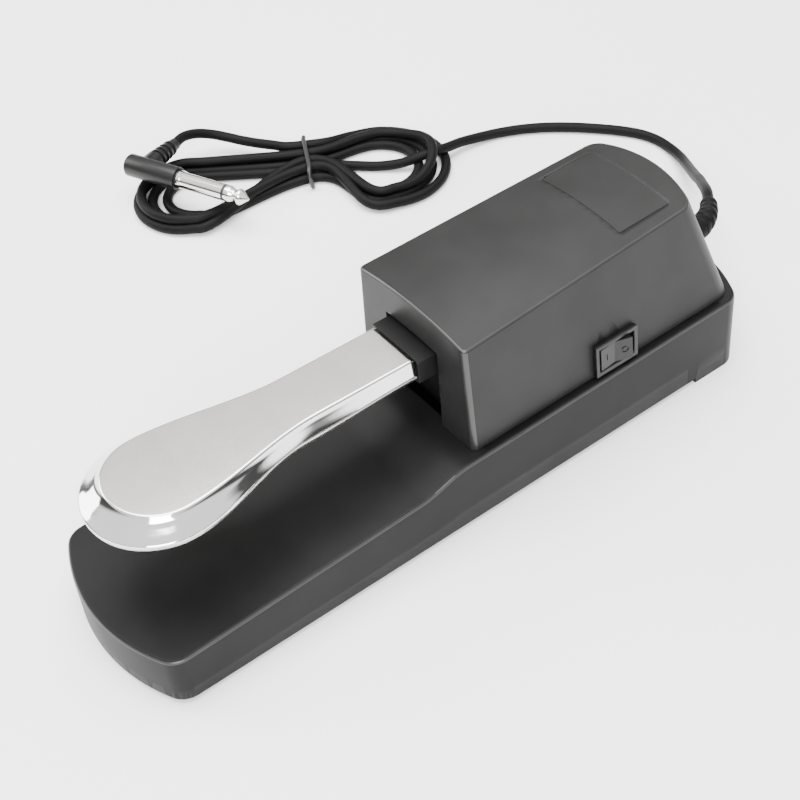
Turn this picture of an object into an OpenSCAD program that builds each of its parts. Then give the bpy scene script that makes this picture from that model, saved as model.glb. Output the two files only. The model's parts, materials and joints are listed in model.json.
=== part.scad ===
// Piano-style sustain pedal: chrome lever in a black housing, polarity rocker, tied cord and plug.
// Millimetres. +Z is up, the lever's toe points along -Y and the cord leaves at the rear, +Y.
// The origin is on the floor, under the middle of the base.

/* [Base] */
// Length of the base, over its two curved ends
base_l = 232; // [205:1:280]
// Width of the base at its foot
base_w = 63; // [60:1:76]
// Radius of the arc at each end of the base
end_r = 60; // [50:1:90]
// Radius of the base's four upright corners
corner_r = 7; // [5:0.5:10]
// How far each side leans in from foot to ledge
base_draft = 1; // [0:0.1:1.5]
// Wall thickness of the base moulding
base_wall = 2.4; // [1.8:0.1:3]
// Height of the deck at its front edge
deck_h = 18; // [15:0.5:19]
// Slope of the deck, rising to the rear, in degrees
deck_slope = 2.2; // [1:0.1:2.5]
// Height of the ledge that carries the housing, at the mouth
ledge_h = 25.5; // [24.5:0.5:30]
// Slope of the ledge, rising to the rear, in degrees
ledge_slope = 0.8; // [0:0.1:1.5]
// Length of the curved step from deck to ledge
step_l = 17; // [10:1:25]
// Gap between the floor and the edge of the skirt
skirt_gap = 1.8; // [1:0.1:2.4]
// Length of the rear band of skirt that reaches the floor
rear_band_l = 26; // [15:1:40]
// Height of the recessed floor under the housing
floor_h = 22; // [20:0.5:23]

/* [Bottom plate] */
// Thickness of the steel bottom plate
plate_t = 1.5; // [1:0.1:2]
// Height of the plate's underside, which is the thickness of the rubber pads
pad_t = 2.6; // [2.5:0.1:3.5]
// Length of each rubber pad along the base
pad_l = 16; // [10:1:25]
// Width of each rubber pad
pad_w = 44; // [30:1:48]

/* [Housing] */
// Width of the housing at its foot
house_w = 54.8; // [52:0.2:58]
// Length of the housing at its foot
house_l = 112.8; // [110:0.2:118]
// Width across the top at the front
top_w_front = 50.2; // [48:0.2:54]
// Width across the top at the rear
top_w_rear = 44.4; // [40:0.2:50]
// Height of the top edge at the front
top_h = 64.6; // [62:0.2:72]
// Slope of the top edge, rising to the rear, in degrees
top_slope = 1.8; // [0:0.1:3]
// Rise of the arched top over its edges
crown_h = 2.7; // [1.5:0.1:4]
// How far the rear wall leans in from foot to top
rear_lean = 16.6; // [10:0.2:18]
// How far the top of the front wall stands ahead of its foot
front_lean = 0.8; // [0:0.1:1.5]
// Wall thickness of the housing
house_wall = 2.4; // [1.8:0.1:2.6]
// Width of the mouth that the lever comes out of
mouth_w = 24.4; // [23.8:0.2:27]
// Height of the mouth's top edge
mouth_h = 56; // [55.4:0.2:58]
// Length of the blank plate let into the top
badge_l = 20; // [14:1:26]
// Width of the blank plate let into the top
badge_w = 35; // [24:1:38]
// Thickness of the blank plate
badge_t = 0.6; // [0.4:0.1:0.9]

/* [Lever] */
// Height of the pivot axle
pivot_z = 42; // [41:0.5:44]
// Distance of the pivot axle behind the mouth
pivot_y = 80; // [74:1:82]
// Upward tilt of the lever at rest, in degrees
lever_rise = 1; // [0.5:0.1:1.2]
// Travel of the lever from rest to its lower stop, in degrees
lever_travel = 5; // [3:0.5:5]
// Height of the shoe's top face over the pivot axle
shoe_rise = 11.4; // [11:0.1:12]
// Distance from the mouth to the shoe's rear end
shoe_gap = 7; // [5:0.5:9]
// Distance from the mouth to the middle of the toe
toe_y = 87; // [80:1:92]
// Width of the top face at the neck
neck_w = 19.4; // [18:0.2:20]
// Radius of the top face at the toe
toe_r = 16.2; // [14:0.2:17]
// Width of the bevel round the toe
bevel_w = 5.2; // [4:0.1:6]
// Depth of the bevel round the toe
bevel_h = 5.4; // [4.5:0.1:6]
// Depth of the shoe's flange
flange_h = 7.2; // [6.6:0.1:8]
// Metal thickness of the shoe
shoe_t = 1.4; // [1:0.1:1.6]
// Width of the arm where it shows in the mouth
arm_w = 22.2; // [21.6:0.2:23]
// Width of the arm inside the housing
tail_w = 16; // [14:0.5:17]
// Radius of the arm's hub
hub_r = 7; // [6.4:0.1:7.5]
// Radius of the pivot axle
axle_r = 3; // [2.5:0.1:3.2]

/* [Spring and switch] */
// Mean radius of the return spring
spring_r = 6.6; // [6:0.1:7]
// Radius of the spring's wire
spring_wire_r = 0.8; // [0.6:0.05:0.9]
// Number of turns in the spring
spring_turns = 6.5; // [5:0.5:8]
// Distance of the spring behind the mouth
spring_y = 31; // [30:0.5:34]
// Distance of the contact switch behind the mouth
contact_y = 51; // [49:0.5:54]
// Radius of the contact switch's plunger
plunger_r = 1.5; // [1.2:0.1:1.6]
// Length of the rocker switch's bezel
bezel_l = 17; // [16.4:0.2:19]
// Height of the rocker switch's bezel
bezel_h = 12; // [11:0.2:12.4]
// Distance of the rocker switch behind the mouth
bezel_y = 56; // [48:1:64]
// Swing of the rocker from one side to the other, in degrees
rocker_swing = 16; // [10:1:18]

/* [Cord] */
// Diameter of the cord
cord_d = 3.9; // [3.5:0.1:4.2]
// Height of the tied hank
hank_h = 10; // [9:0.5:12]
// Radius of the plug's sleeve, a quarter-inch plug
plug_r = 3.175; // [3.1:0.025:3.25]
// Length of the plug's sleeve
sleeve_l = 20; // [18:0.5:22]
// Length of the plug's tip
tip_l = 9.6; // [9:0.1:10.5]
// Radius of the plug's moulded body
plug_body_r = 4.4; // [4:0.1:5]
// Length of the plug's moulded body
plug_body_l = 24; // [20:1:28]

/* [Hidden] */
$fn = 48;

// Clearances
slide_gap = 0.3;      // between pieces that lie beside each other
running_gap = 0.05;   // radial, in a bearing
seat_gap = 0.1;       // between pieces that rest on each other
eps = 0.01;

// Base
half_l = base_l / 2;
half_w = base_w / 2;
plate_top = pad_t + plate_t;
plate_edge = base_wall + slide_gap;
pocket_half_w = house_w / 2 - house_wall - 1;
pocket_y0 = house_wall + 0.6;
pocket_y1 = house_l - rear_lean + 3.8;
floor_t = base_wall;
plate_screw_r = 1.5;
plate_screw_head_r = 2.9;
plate_boss_r = 3.3;
plate_screw_at = [[half_w - 8, -half_l + 40], [half_w - 8, -15], [half_w - 8, half_l - 34]];

// Housing
half_foot = house_w / 2;
house_corner_r = 6;
front_edge_r = 2;
top_l = house_l - rear_lean;
rear_r_foot = end_r - (half_l - house_l);
rear_r_top = 48;
badge_y = top_l - 21;
boss_r = 3.4;
boss_top = 40;
boss_at = [[pocket_half_w - boss_r - 0.6, 10.5], [pocket_half_w - boss_r - 0.6, pocket_y1 - 6]];
small_screw_r = 1.5;
pilot_r = 1.25;
screw_head_r = 2.7;
screw_head_h = 1.8;
screw_sink = screw_head_h + 0.2;

// Lever, drawn level and then tilted about the pivot axle
shoe_top = pivot_z + shoe_rise;
arm_top = shoe_top - 0.4;
arm_bottom = arm_top - 8;
insert_top = shoe_top - shoe_t - seat_gap;
insert_bottom = shoe_top - flange_h + 0.3;
rim_neck = neck_w / 2 + 1.1;
tail_y = 12;
hub_half = tail_w / 2 + 1;
bush_r = axle_r + 1.5;
function tail_part(y) = max(0, y - tail_y) / (pivot_y - tail_y);
function arm_under(y) = arm_bottom + (pivot_z - hub_r + 2 - arm_bottom) * tail_part(y);
function arm_over(y) = arm_top + (pivot_z + hub_r - 1 - arm_top) * tail_part(y);
shoe_screw_y = [-28, -64];
shoe_boss_r = 2.8;
shoe_boss_h = 3.6;
apron_r = pivot_y - 4;
apron_t = 2;
apron_half_w = mouth_w / 2 + 1.8;
apron_bottom = floor_h + 0.5;

// Stops and spring, from the lever's own motion
function lever_z(y, z, turn) = pivot_z + (pivot_y - y) * sin(lever_rise - turn)
    + (z - pivot_z) * cos(lever_rise - turn);
spring_foot = floor_h;
spring_reach = spring_r + spring_wire_r + 0.6;
spring_seat = arm_under(spring_y + spring_reach) - 0.2;
spring_head = lever_z(spring_y + spring_reach, spring_seat, 0) - seat_gap;
bumper_y = 16.5;
bumper_r = 4.5;
bumper_h = 6;
bumper_top = lever_z(bumper_y + bumper_r, arm_under(bumper_y + bumper_r), lever_travel) - slide_gap;
strap_y = 22;
strap_l = 7;
strap_t = 1.5;
strap_half = tail_w / 2 + 3;
felt_t = 1.6;
felt_bottom = lever_z(strap_y - strap_l / 2, arm_over(strap_y - strap_l / 2), 0) + slide_gap;
strap_top = felt_bottom + felt_t + strap_t;
strap_foot_w = 8;
strap_screw_x = strap_half + strap_t + 4.2;

// Bracket
bush_flange_t = 1.2;
cheek_x = hub_half + bush_flange_t + slide_gap;
bracket_t = 1.5;
bracket_l = 20;
axle_half = cheek_x + bracket_t + 2.4;
bracket_screw_at = [[7, -6.5], [7, 6.5]];

// Contact switch and its board
board_t = 1.6;
board_z = floor_h + 5;
board_x0 = -pocket_half_w + 1;
board_w = 13;
board_y0 = contact_y - 14;
board_l = 31;
board_top = board_z + board_t;
board_post_r = 2.6;
board_screw_x = board_x0 + 4;
board_screw_y = [board_y0 + 3.5, board_y0 + board_l - 3.5];
contact_x = -tail_w / 2 - 5;
lug_bottom = pivot_z + 1;
contact_body_top = board_top + 8.4;
plunger_top = lever_z(contact_y + 3, lug_bottom, 0) - slide_gap;
plunger_bottom = contact_body_top - 4;

// Polarity rocker, set square on the leaning side wall
function ledge_z(y) = ledge_h + y * tan(ledge_slope);
function edge_z(y) = top_h + y * tan(top_slope);
function top_half(y) = (top_w_front + (top_w_rear - top_w_front) * (y + front_lean) / top_l) / 2;
bezel_z = ledge_z(bezel_y) + bezel_h / 2 + 0.5;
side_lean = atan((half_foot - top_half(bezel_y)) / (edge_z(bezel_y) - ledge_z(bezel_y)));
bezel_x = half_foot - (bezel_z - ledge_z(bezel_y)) * tan(side_lean);
bezel_t = 1.6;
switch_l = 15.2;
switch_h = 9.8;
switch_depth = 10.5;
well_l = 14.2;
well_h = 8.4;
rocker_pivot = -3;
terminal_l = 4;

// Cord, as points along its middle
cord_r = cord_d / 2;
relief_r = 4.3;
relief_tip_r = 2.7;
relief_flange_r = 5.2;
relief_flange_t = 1.5;
relief_points = [
    [5.4, 102.3, 36.9], [5.4, 107, 36.9], [5.4, 111, 36.9], [4.9, 115, 36.9], [3.3, 119, 36.7],
    [1.2, 122.3, 36.2], [-1.3, 125.2, 35.6], [-4, 127.8, 34.8]
];
cord_points = [
    [-4, 127.8, 34.8], [-8.5, 132.1, 33.5], [-13.5, 136.5, 30.7], [-19, 141.2, 27], [-25.5, 146.8, 22.6],
    [-33, 153, 17], [-41, 159.4, 11.8], [-49, 165.3, 7.4], [-57, 170.2, 4.2], [-65, 173.1, 2.4],
    [-73, 173.6, 2], [-80.5, 171.4, 2], [-88, 166.7, 2], [-95.5, 160.6, 2], [-102.5, 154, 2],
    [-109, 146.6, 2], [-114.4, 138.6, 2], [-118.4, 130.2, 2.1], [-120.6, 121.6, 2.8], [-121.4, 113.6, 4],
    [-121, 107.5, 5]
];
end_points = [
    [-185.4, 22.3, 13.1], [-187.7, 27.4, 12.7], [-188.1, 33.4, 11.2], [-186.4, 39.2, 9], [-182.8, 44, 7.2],
    [-178, 48, 6.2], [-172.6, 51.8, 6], [-167.2, 55.8, 6], [-162.2, 60, 6]
];
inner_points = [
    [5.4, 102.2, 36.9], [5.4, 101.2, 36.9], [5.4, 99.2, 35.8], [5.3, 98.4, 32.6], [5.2, 97.8, 29.4],
    [5, 96.6, 27], [5, 95, 26.1], [5, 89.6, 26.1]
];
clamp_y = 92.6;
clamp_z = 26.1;
clamp_l = 4;
hank_left = [-165, 16];
hank_left_r = 20;
hank_waist = [-150, 60];
hank_waist_r = 12;
hank_right = [-131, 82];
hank_right_r = 28;
tie_w = 2.6;
tie_t = 0.8;
tie_turn = 64;

// Plug, lying on the hank
plug_at = [-184, 1, hank_h + plug_body_r + seat_gap];
plug_turn = 24.5;
boot_from_end = 7.6;
boot_dip = 4;
boot_l = 20;
insulator_l = 1.1;

// ---------- outlines and shared forms ----------

function mirror_x(p) = [for (q = p) [-q[0], q[1]]];
function mirror_y(p) = [for (q = p) [q[0], -q[1]]];
function reversed(p) = [for (i = [len(p) - 1:-1:0]) p[i]];
function inner(p) = [for (i = [1:len(p) - 1]) p[i]];
function smooth(t) = let (c = min(1, max(0, t))) c * c * (3 - 2 * c);

// Right half of a curved end, from the middle of its arc to the side; tip is the arc's furthest point
function end_quarter(half, tip, arc_r, corner, inset) =
    let (a = asin((half - corner) / (arc_r - corner)),
         middle = tip - arc_r,
         corner_at = [half - corner, middle + (arc_r - corner) * cos(a)])
    concat(
        [for (i = [0:8]) [(arc_r - inset) * sin(a * i / 8), middle + (arc_r - inset) * cos(a * i / 8)]],
        [for (i = [1:6]) let (t = a + (90 - a) * i / 6)
            corner_at + (corner - inset) * [sin(t), cos(t)]]
    );

// Outline of the base, moved in by inset
module base_outline(inset) {
    quarter = end_quarter(half_w, half_l, end_r, corner_r, inset);
    polygon(concat(
        quarter,
        reversed(mirror_y(quarter)),
        inner(mirror_x(mirror_y(quarter))),
        inner(reversed(inner(mirror_x(quarter))))
    ));
}

// Outline of the housing at one level: square front, curved rear and points along the sides
function house_outline(half_front, half_rear, front, rear, arc_r, corner, inset) =
    let (quarter = end_quarter(half_rear, rear, arc_r, corner, inset),
         last = quarter[len(quarter) - 1],
         edge = max(0.2, front_edge_r - inset),
         edge_at = [half_front - inset - edge, front + inset + edge],
         side = [for (i = [1:7]) last + (edge_at + [edge, 0] - last) * i / 8],
         edge_arc = [for (i = [0:4]) edge_at + edge * [cos(22.5 * i), -sin(22.5 * i)]],
         right = concat(quarter, side, edge_arc))
    concat(right, reversed(inner(mirror_x(right))));

// Outer form of the housing, moved in by inset; its foot reaches down by below
module house_form(inset, below) {
    crown_r = (pow(top_w_front / 2, 2) + crown_h * crown_h) / (2 * crown_h);
    over = 0.2;
    upright = 0.3;
    foot = [for (p = house_outline(half_foot, half_foot, 0, house_l, rear_r_foot, house_corner_r, inset))
        [p[0], p[1], ledge_z(p[1]) + upright]];
    edge = [for (p = house_outline(top_w_front / 2, top_w_rear / 2, -front_lean, top_l,
            rear_r_top, house_corner_r, inset))
        [p[0], p[1], edge_z(p[1])]];
    intersection() {
        loft([edge + (edge - foot) * over, foot, foot - [for (p = foot) [0, 0, upright + below]]]);
        translate([0, 0, top_h]) rotate([top_slope, 0, 0]) translate([0, -20, crown_h - crown_r])
            rotate([-90, 0, 0]) cylinder(r = crown_r - inset, h = house_l + 40, $fn = 180);
    }
}

// Height of the base's upper surface
function deck_z(y) = deck_h + (y + half_l) * tan(deck_slope);
function base_top(y) =
    let (t = smooth((y + 4 + step_l) / step_l))
    deck_z(min(y, -4)) * (1 - t) + ledge_z(y) * t;

// Solid form of the base, moved in by inset with its top lowered by drop
module base_form(inset, drop) {
    step_y = [for (i = [0:12]) -4 - step_l + step_l * i / 12];
    reach = half_l + 10;
    intersection() {
        linear_extrude(height = ledge_h + 20) base_outline(inset);
        translate([-half_w - 5, 0, 0]) rotate([90, 0, 90]) linear_extrude(height = base_w + 10)
            polygon(concat(
                [[reach, -5], [-reach, -5], [-reach, deck_z(-reach) - drop]],
                [for (y = step_y) [y, base_top(y) - drop]],
                [[reach, ledge_z(reach) - drop]]
            ));
        translate([0, half_l + 5, 0]) rotate([90, 0, 0]) linear_extrude(height = base_l + 10)
            polygon([
                [-half_w + inset, 0], [half_w - inset, 0],
                [half_w - inset - base_draft * 2, ledge_h * 2],
                    [-half_w + inset + base_draft * 2, ledge_h * 2]
            ]);
    }
}

// Both sides of the middle plane
module each_side() {
    children();
    mirror([1, 0, 0]) children();
}

// Cross-head screw standing on its tip: shank of length l with the head on top
module pan_screw(l, r, head_r, head_h) {
    difference() {
        union() {
            cylinder(r = r, h = l);
            translate([0, 0, l]) cylinder(r = head_r, h = head_h);
        }
        for (turn = [0, 90])
            translate([0, 0, l + head_h]) rotate([0, 0, turn])
                cube([head_r * 1.2, r * 0.45, head_h], center = true);
    }
}

// Tube through points along its middle, with a radius at each point
function unit(v) = v / max(norm(v), 0.000001);
function point_along(path, i) =
    unit(path[min(i + 1, len(path) - 1)] - path[max(i - 1, 0)]);
function tube_side(direction) = unit(cross(direction, [0.12, 0.05, 1]));

module tube(path, radii, sides) {
    count = len(path);
    ring = [for (i = [0:count - 1])
        let (d = point_along(path, i), u = tube_side(d), v = cross(d, u))
        for (k = [0:sides - 1])
            path[i] + radii[i] * (cos(360 * k / sides) * u + sin(360 * k / sides) * v)];
    polyhedron(
        points = ring,
        faces = concat(
            [[for (k = [0:sides - 1]) k]],
            [for (i = [0:count - 2]) for (k = [0:sides - 1])
                let (a = i * sides + k, b = i * sides + (k + 1) % sides)
                for (f = [[a, a + sides, b], [b, a + sides, b + sides]]) f],
            [[for (k = [sides - 1:-1:0]) (count - 1) * sides + k]]
        )
    );
}

function last_three(path) = [for (i = [len(path) - 3:len(path) - 1]) path[i]];

module even_tube(path, r, sides) {
    tube(path, [for (p = path) r], sides);
}

// ---------- base ----------

module base_body() color([0.13, 0.13, 0.14]) {
    difference() {
        union() {
            difference() {
                base_form(0, 0);
                difference() {
                    translate([0, 0, -1]) base_form(base_wall, base_wall - 1);
                    // walls of the recessed floor
                    translate([-pocket_half_w - base_wall, pocket_y0 - base_wall, floor_h - floor_t])
                        cube([2 * (pocket_half_w + base_wall), pocket_y1 - pocket_y0 + 2 * base_wall, 20]);
                    base_bosses();
                }
                translate([-half_w, -half_l - 5, -1])
                    cube([base_w, base_l + 5 - rear_band_l, skirt_gap + 1]);
                translate([-pocket_half_w, pocket_y0, floor_h])
                    cube([2 * pocket_half_w, pocket_y1 - pocket_y0, 30]);
            }
            // post under the lower stop
            translate([0, bumper_y, floor_h - 1])
                cylinder(r = bumper_r + 0.5, h = bumper_top - bumper_h - floor_h + 1);
            // posts under the board
            for (y = board_screw_y)
                translate([board_screw_x, y, floor_h - 1])
                    cylinder(r = board_post_r, h = board_z - floor_h + 1);
        }
        // slot that the lever's apron goes down through
        translate([-apron_half_w - 0.8, pocket_y0 + 0.4, floor_h - 10])
            cube([2 * apron_half_w + 1.6, 8, 20]);
        // screw holes, from below and from above
        each_side() for (p = plate_screw_at) translate([p[0], p[1], 0]) cylinder(r = pilot_r, h = 13);
        each_side() for (p = boss_at) translate([p[0], p[1], 10]) cylinder(r = small_screw_r + 0.2, h = 20);
        each_side() for (p = bracket_screw_at)
            translate([p[0], pivot_y + p[1], floor_h - 6]) cylinder(r = pilot_r, h = 8);
        each_side() translate([strap_screw_x, strap_y, floor_h - 6]) cylinder(r = pilot_r, h = 8);
        for (y = board_screw_y) translate([board_screw_x, y, floor_h - 6]) cylinder(r = 1, h = 20);
        for (x = [-5.4, 5.4]) translate([5 + x, clamp_y, floor_h - 6]) cylinder(r = 1, h = 8);
        translate([0, bumper_y, bumper_top - bumper_h - 5]) cylinder(r = 1.5, h = 10);
    }
}

// Bosses on the underside: for the bottom plate, and under the floor for the pieces that stand on it
module base_bosses() {
    each_side() for (p = plate_screw_at)
        translate([p[0], p[1], plate_top]) cylinder(r = plate_boss_r, h = 30);
    each_side() for (p = bracket_screw_at)
        translate([p[0], pivot_y + p[1], floor_h - 8]) cylinder(r = plate_boss_r, h = 8);
    each_side() translate([strap_screw_x, strap_y, floor_h - 8]) cylinder(r = plate_boss_r, h = 8);
    for (y = board_screw_y) translate([board_screw_x, y, floor_h - 8]) cylinder(r = plate_boss_r, h = 8);
    for (x = [-5.4, 5.4]) translate([5 + x, clamp_y, floor_h - 8]) cylinder(r = plate_boss_r, h = 8);
}

module bottom_plate() color([0.16, 0.16, 0.17]) {
    difference() {
        translate([0, 0, pad_t]) linear_extrude(height = plate_t) base_outline(plate_edge);
        each_side() for (p = plate_screw_at) translate([p[0], p[1], pad_t - eps]) {
            cylinder(r = plate_screw_r + 0.2, h = plate_t + 1);
            cylinder(r1 = plate_screw_head_r + 0.1, r2 = plate_screw_r + 0.2, h = 1.2);
        }
    }
}

module plate_screws() color("silver") {
    each_side() for (p = plate_screw_at) translate([p[0], p[1], pad_t]) difference() {
        union() {
            cylinder(r1 = plate_screw_head_r, r2 = pilot_r, h = 1.2);
            cylinder(r = pilot_r, h = 9);
        }
        for (turn = [0, 90]) rotate([0, 0, turn]) cube([3, 0.7, 1.2], center = true);
    }
}

module rubber_pad(y) {
    translate([-pad_w / 2, y - pad_l / 2, 0]) difference() {
        cube([pad_w, pad_l, pad_t]);
        // grip grooves across the pad
        for (i = [1:3]) translate([-1, pad_l * i / 4 - 0.6, -1]) cube([pad_w + 2, 1.2, 1.6]);
    }
}

module front_pad() color([0.08, 0.08, 0.08]) rubber_pad(-half_l + 24);

module rear_pad() color([0.08, 0.08, 0.08]) rubber_pad(half_l - 20);

// ---------- housing ----------

module mouth_cut() {
    arch = 0.6;
    arch_r = (pow(mouth_w / 2, 2) + arch * arch) / (2 * arch);
    intersection() {
        translate([-mouth_w / 2, -5, ledge_h - 5]) cube([mouth_w, 5 + pocket_y0, mouth_h + 10]);
        translate([0, -10, mouth_h - arch_r]) rotate([-90, 0, 0]) cylinder(r = arch_r, h = 30, $fn = 180);
    }
}

module badge_box(gap) {
    translate([-badge_w / 2 - gap, badge_y - badge_l / 2 - gap, top_h - 8])
        cube([badge_w + 2 * gap, badge_l + 2 * gap, 30]);
}

module housing_cover() color([0.2, 0.2, 0.21]) {
    difference() {
        house_form(0, 0);
        difference() {
            house_form(house_wall, 1);
            each_side() for (p = boss_at) {
                translate([p[0], p[1], floor_h + seat_gap]) cylinder(r = boss_r, h = boss_top - floor_h);
                translate([p[0], p[1] - 0.8, ledge_z(p[1]) + 0.5])
                    cube([half_foot - p[0] - 1, 1.6, boss_top - ledge_z(p[1]) - 0.5]);
            }
        }
        mouth_cut();
        // recess for the blank plate
        intersection() {
            badge_box(seat_gap);
            difference() {
                house_form(-1, 1);
                house_form(badge_t + seat_gap, 1);
            }
        }
        each_side() for (p = boss_at) translate([p[0], p[1], floor_h - 1]) cylinder(r = pilot_r, h = 13);
        on_side_wall() translate([-10, -switch_l / 2 - seat_gap, -switch_h / 2 - seat_gap])
            cube([20, switch_l + 2 * seat_gap, switch_h + 2 * seat_gap]);
        translate([relief_points[0][0], top_l - 10, relief_points[0][2]])
            rotate([-90, 0, 0]) cylinder(r = relief_r + 2 * seat_gap, h = 40);
    }
    // lower ends of the bosses, which reach down to the recessed floor
    each_side() for (p = boss_at) translate([p[0], p[1], floor_h + seat_gap]) difference() {
        cylinder(r = boss_r, h = ledge_z(p[1]) + 1 - floor_h);
        translate([0, 0, -1]) cylinder(r = pilot_r, h = 10);
    }
}

module housing_screws() color("silver") {
    each_side() for (p = boss_at)
        translate([p[0], p[1], floor_h + 10]) rotate([180, 0, 0])
            pan_screw(10 + floor_t + 0.05, pilot_r, screw_head_r, screw_head_h);
}

module top_plate() color([0.19, 0.19, 0.2]) {
    intersection() {
        badge_box(0);
        difference() {
            house_form(0, 1);
            house_form(badge_t, 1);
        }
    }
}

// ---------- lever ----------

// Tilts the level lever about the pivot axle to where it rests
module at_rest() {
    translate([0, pivot_y, pivot_z]) rotate([-lever_rise, 0, 0]) translate([0, -pivot_y, -pivot_z])
        children();
}

// Half-width of the shoe at y, between its neck and the middle of its toe
function shoe_half(y, neck, flare, toe, from, to) =
    neck + flare * smooth((-shoe_gap - y) / (from - shoe_gap)) +
        (toe - neck - flare) * smooth((-from - y) / (to - from));

// Outline of the shoe from its rear end round the toe; rear is the y of the rear end
function shoe_outline(neck, flare, toe, middle, from, rear) =
    let (right = [for (i = [0:15]) let (y = rear - (rear + middle) * i / 16)
            [shoe_half(y, neck, flare, toe, from, middle), y]],
         arc = [for (i = [0:24]) let (t = 180 * i / 24) [toe * cos(t), -middle - toe * sin(t)]])
    concat(right, arc, reversed(mirror_x(right)));

function top_outline(inset, rear) =
    shoe_outline(neck_w / 2 - inset, 0, toe_r - inset, toe_y, 41, rear);
function rim_outline(inset, rear) =
    shoe_outline(rim_neck - inset, 1.2, toe_r + bevel_w - inset, toe_y + 1.4, 46, rear);

function at_height(outline, z) = [for (p = outline) [p[0], p[1], z]];

// Strips that close an outline of n points, each running between a point and its mirror image
function cap(n, first) = concat(
    [for (k = [0:(n - 5) / 2]) [first + k, first + k + 1, first + n - 2 - k, first + n - 1 - k]],
    [[first + (n - 3) / 2, first + (n - 1) / 2, first + (n + 1) / 2]]
);

// Closed solid through symmetrical outlines of equal, odd length, from the top one down
module loft(rings) {
    n = len(rings[0]);
    polyhedron(
        points = [for (r = rings) for (p = r) p],
        faces = concat(
            cap(n, 0),
            [for (i = [0:len(rings) - 2]) for (k = [0:n - 1])
                let (a = i * n + k, b = i * n + (k + 1) % n)
                for (f = [[a, a + n, b], [b, a + n, b + n]]) f],
            [for (f = cap(n, (len(rings) - 1) * n)) reversed(f)]
        )
    );
}

module shoe_form(inset, drop, rear, depth) {
    loft([
        at_height(top_outline(inset + 0.5, rear), shoe_top - drop),
        at_height(top_outline(inset, rear), shoe_top - drop - 0.5),
        at_height(rim_outline(inset, rear), shoe_top - drop - bevel_h),
        at_height(rim_outline(inset + 0.3, rear), shoe_top - drop - depth)
    ]);
}

module lever_shoe() color([0.82, 0.81, 0.79]) at_rest() {
    difference() {
        shoe_form(0, 0, -shoe_gap, flange_h);
        difference() {
            shoe_form(shoe_t, shoe_t, 1 - shoe_gap, flange_h + 2);
            for (y = shoe_screw_y)
                translate([0, y, shoe_top - shoe_boss_h]) cylinder(r = shoe_boss_r, h = shoe_boss_h);
        }
        for (y = shoe_screw_y)
            translate([0, y, shoe_top - shoe_boss_h - 1])
                cylinder(r = pilot_r, h = shoe_boss_h + 1 - shoe_t - 0.2);
    }
}

module lever_arm() color([0.07, 0.07, 0.08]) at_rest() {
    difference() {
        union() {
            // insert that fills the shoe
            translate([0, 0, insert_bottom]) linear_extrude(height = insert_top - insert_bottom)
                polygon(top_outline(shoe_t + slide_gap + 0.5, -shoe_gap));
            // visible neck, as wide as the shoe's flange
            translate([-arm_w / 2, -shoe_gap + slide_gap, arm_bottom])
                cube([arm_w, tail_y + shoe_gap - slide_gap, arm_top - arm_bottom]);
            translate([-neck_w / 2 + 2, -shoe_gap - 4, insert_bottom])
                cube([neck_w - 4, 8, insert_top - insert_bottom]);
            // tail, from the neck down to the hub
            translate([-tail_w / 2, 0, 0]) rotate([90, 0, 90]) linear_extrude(height = tail_w)
                polygon([
                    [tail_y - 1, arm_bottom], [tail_y, arm_bottom], [pivot_y, arm_under(pivot_y)],
                    [pivot_y, arm_over(pivot_y)], [tail_y, arm_top], [tail_y - 1, arm_top]
                ]);
            translate([-hub_half, pivot_y, pivot_z]) rotate([0, 90, 0]) cylinder(r = hub_r, h = 2 * hub_half);
            // curved apron that closes the mouth, concentric with the axle
            intersection() {
                translate([-apron_half_w, pivot_y, pivot_z]) rotate([0, 90, 0]) difference() {
                    cylinder(r = apron_r, h = 2 * apron_half_w, $fn = 180);
                    translate([0, 0, -1])
                        cylinder(r = apron_r - apron_t, h = 2 * apron_half_w + 2, $fn = 180);
                }
                translate([-apron_half_w, 0, apron_bottom])
                    cube([2 * apron_half_w, 12, arm_top - 2 - apron_bottom]);
            }
            // seat and peg for the spring's head
            translate([0, spring_y, spring_seat]) cylinder(r = spring_reach, h = arm_bottom - spring_seat);
            translate([0, spring_y, spring_seat - 3]) cylinder(r = spring_r - spring_wire_r - 0.5, h = 4);
            // lug that works the contact switch
            translate([contact_x - 3, contact_y - 3, lug_bottom]) cube([-contact_x, 6, 3]);
        }
        for (y = shoe_screw_y) {
            translate([0, y, insert_bottom - 1]) cylinder(r = small_screw_r + 0.1, h = 10);
            translate([0, y, insert_bottom - 1]) cylinder(r = screw_head_r + 0.2, h = 1 + screw_sink);
            translate([0, y, shoe_top - shoe_boss_h - seat_gap]) cylinder(r = shoe_boss_r + 0.2, h = 6);
        }
        translate([-20, pivot_y, pivot_z]) rotate([0, 90, 0]) cylinder(r = bush_r, h = 40);
    }
}

module shoe_screws() color("silver") at_rest() {
    end = shoe_top - shoe_t - 0.4;
    for (y = shoe_screw_y) translate([0, y, end]) rotate([180, 0, 0])
        pan_screw(end - insert_bottom - screw_sink + 0.05, pilot_r, screw_head_r, screw_head_h);
}

module pivot_bushes() color("ivory") {
    each_side() translate([hub_half, pivot_y, pivot_z]) rotate([0, 90, 0]) difference() {
        union() {
            translate([0, 0, -7]) cylinder(r = bush_r, h = 7);
            cylinder(r = bush_r + 1.6, h = bush_flange_t);
        }
        translate([0, 0, -10]) cylinder(r = axle_r + running_gap, h = 20);
    }
}

// ---------- pivot, spring and stops ----------

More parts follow.
